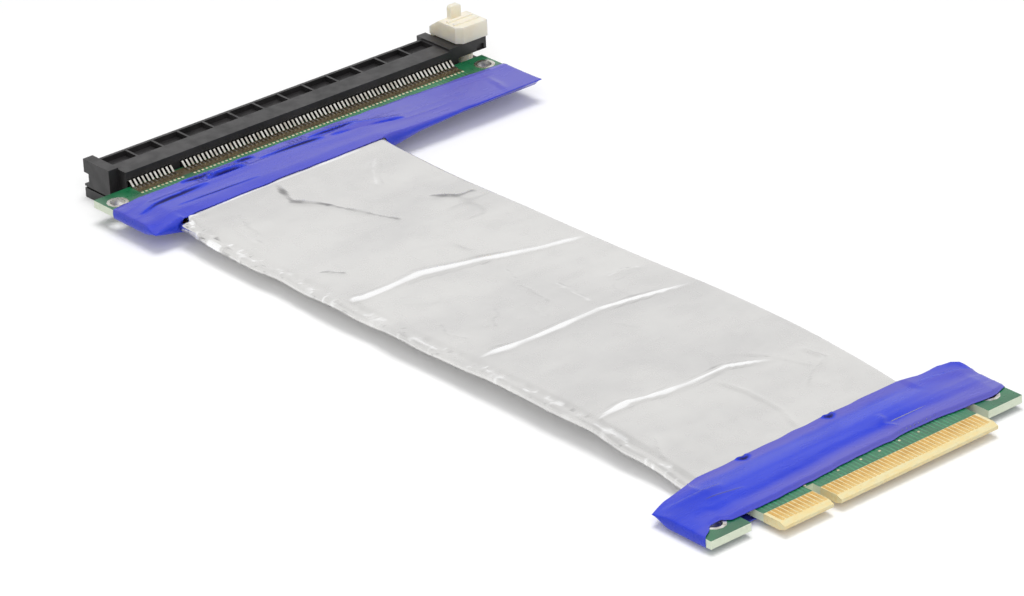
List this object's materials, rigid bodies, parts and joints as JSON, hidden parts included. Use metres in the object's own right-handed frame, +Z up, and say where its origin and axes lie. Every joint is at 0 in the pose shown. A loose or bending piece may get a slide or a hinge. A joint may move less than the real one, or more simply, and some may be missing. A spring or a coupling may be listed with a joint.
{
  "type": "pcie extension cable",
  "caption": "Flat foil-shielded extension cable joining a long card slot with a retention latch to a keyed card-edge connector.",
  "frame": {"origin": "centre of the bounding box in X and Y, on the surface that the cable lies on", "axes": "+X from the slot to the edge connector, Y along both connectors, +Z up"},
  "size_m": [0.2026, 0.1082, 0.0149],
  "materials": {
    "black_moulding": "satin moulded",
    "ivory_moulding": "satin moulded",
    "contact_metal": "tin plated",
    "gold_plate": "gold plated",
    "tin": "tinned",
    "board_green": "green solder mask over glass fibre",
    "ribbon_grey": "ribbon insulation",
    "foil": "creased foil",
    "tape_blue": "thin blue insulating tape"
  },
  "bodies": {
    "cable_assembly": {"slot_housing": "black_moulding", "slot_contacts_upper": "contact_metal", "slot_contacts_lower": "contact_metal", "slot_board": "board_green", "slot_pads_upper": "gold_plate", "slot_pads_lower": "gold_plate", "slot_hole_rings": "tin", "slot_wire_ends_upper": "tin", "slot_wire_ends_lower": "tin", "ribbon_upper": "ribbon_grey", "ribbon_lower": "ribbon_grey", "foil_shield": "foil", "slot_tape": "tape_blue", "edge_board": "board_green", "edge_fingers_upper": "gold_plate", "edge_fingers_lower": "gold_plate", "edge_hole_rings": "tin", "edge_wire_ends_upper": "tin", "edge_wire_ends_lower": "tin", "edge_tape": "tape_blue"},
    "latch": {"retention_latch": "ivory_moulding"}
  },
  "joints": [
    {"name": "latch_pivot", "type": "hinge", "parent": "cable_assembly", "child": "latch", "pos_m": [-0.0907, 0.0502, 0.00415], "axis": [0, 0, -1], "range_deg": [0, 25]}
  ]
}
